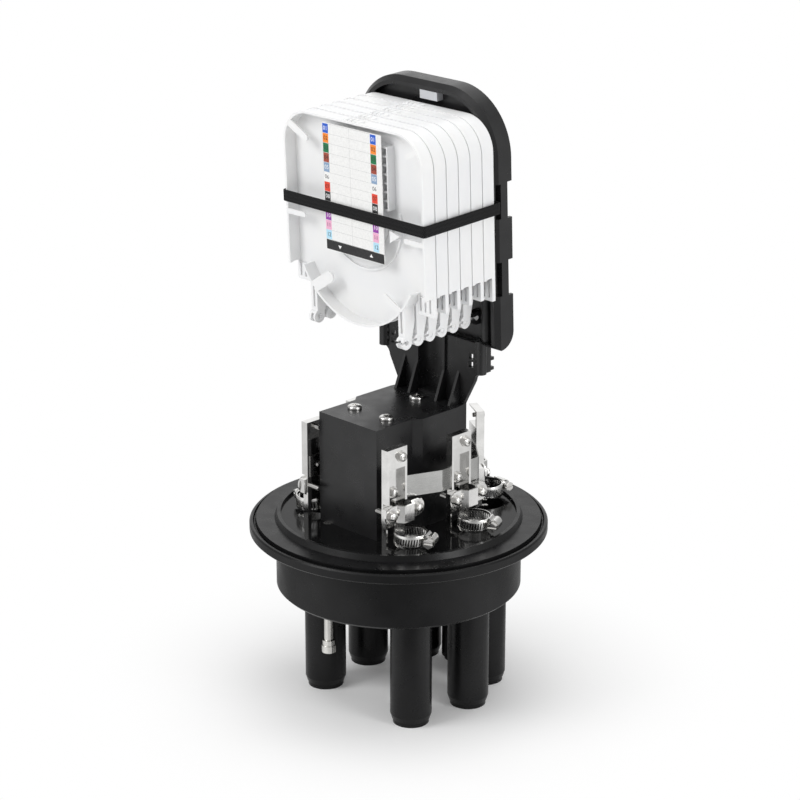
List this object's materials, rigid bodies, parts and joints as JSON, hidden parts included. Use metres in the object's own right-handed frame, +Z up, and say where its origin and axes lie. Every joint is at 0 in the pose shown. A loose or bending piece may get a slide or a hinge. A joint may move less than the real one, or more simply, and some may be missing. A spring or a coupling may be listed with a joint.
{
  "type": "fibre splice closure base",
  "caption": "Dome splice closure without its dome: a round base with cable ports, cable clamps and a stack of hinged splice trays that fold down one by one.",
  "frame": {"origin": "on the flange axis, at the level of the port ends that it stands on", "axes": "+Z up along the flange axis, +X to the right seen from the trays' open side, which faces -Y"},
  "size_m": [0.208, 0.208, 0.4377],
  "materials": {
    "base": "moulded, satin, glossy inner plate",
    "housing": "moulded, satin",
    "tray": "moulded, satin",
    "holder": "moulded",
    "latch": "moulded",
    "stainless": "rolled and polished sheet",
    "screw": "bright",
    "valve": "nickel plated",
    "seal": "smooth",
    "strap": "woven elastic",
    "label": "printed card"
  },
  "bodies": {
    "closure_base": {"base": "base", "port_plate": "base", "plate_ribs": "base", "cable_port_1": "base", "cable_port_2": "base", "cable_port_3": "base", "cable_port_4": "base", "cable_port_5": "base", "cable_port_6": "base", "oval_port": "base", "seal_ring": "seal", "plinth_box": "housing", "carrier": "housing", "lid_screws": "screw", "tray_latch": "latch", "fixing_ring": "stainless", "bracket_screws": "screw", "yoke_screws": "screw", "valve_stem": "valve", "strap": "strap", "cable_bracket_1": "stainless", "clamp_yoke_1": "stainless", "hose_band_1": "stainless", "worm_screw_1": "screw", "cable_bracket_2": "stainless", "clamp_yoke_2": "stainless", "hose_band_2": "stainless", "worm_screw_2": "screw", "cable_bracket_3": "stainless", "clamp_yoke_3": "stainless", "hose_band_3": "stainless", "worm_screw_3": "screw", "cable_bracket_4": "stainless", "clamp_yoke_4": "stainless", "hose_band_4": "stainless", "worm_screw_4": "screw", "cable_bracket_5": "stainless", "clamp_yoke_5": "stainless", "hose_band_5": "stainless", "worm_screw_5": "screw", "cable_bracket_6": "stainless", "clamp_yoke_6": "stainless", "hose_band_6": "stainless", "worm_screw_6": "screw"},
    "valve_cap": {"valve_cap": "valve"},
    "tray_1": {"tray_1": "tray", "splice_holder_1": "holder", "label_card": "label"},
    "tray_2": {"tray_2": "tray", "splice_holder_2": "holder"},
    "tray_3": {"tray_3": "tray", "splice_holder_3": "holder"},
    "tray_4": {"tray_4": "tray", "splice_holder_4": "holder"},
    "tray_5": {"tray_5": "tray", "splice_holder_5": "holder"},
    "tray_6": {"tray_6": "tray", "splice_holder_6": "holder"}
  },
  "joints": [
    {"name": "tray_6_hinge", "type": "hinge", "parent": "closure_base", "child": "tray_6", "pos_m": [0, 0.0301, 0.28], "axis": [1, 0, 0], "range_deg": [0, 15], "deforming": ["strap"]},
    {"name": "tray_5_hinge", "type": "hinge", "parent": "tray_6", "child": "tray_5", "pos_m": [0, 0.01901, 0.27955], "axis": [1, 0, 0], "range_deg": [0, 15], "deforming": ["strap"]},
    {"name": "tray_4_hinge", "type": "hinge", "parent": "tray_5", "child": "tray_4", "pos_m": [0, 0.00792, 0.27911], "axis": [1, 0, 0], "range_deg": [0, 15], "deforming": ["strap"]},
    {"name": "tray_3_hinge", "type": "hinge", "parent": "tray_4", "child": "tray_3", "pos_m": [0, -0.00317, 0.27866], "axis": [1, 0, 0], "range_deg": [0, 15], "deforming": ["strap"]},
    {"name": "tray_2_hinge", "type": "hinge", "parent": "tray_3", "child": "tray_2", "pos_m": [0, -0.01426, 0.27822], "axis": [1, 0, 0], "range_deg": [0, 15], "deforming": ["strap"]},
    {"name": "tray_1_hinge", "type": "hinge", "parent": "tray_2", "child": "tray_1", "pos_m": [0, -0.02535, 0.27777], "axis": [1, 0, 0], "range_deg": [0, 15], "deforming": ["strap"]},
    {"name": "valve_cap_pull", "type": "slide", "parent": "closure_base", "child": "valve_cap", "axis": [0, 0, -1], "range_m": [0, 0.012]}
  ]
}
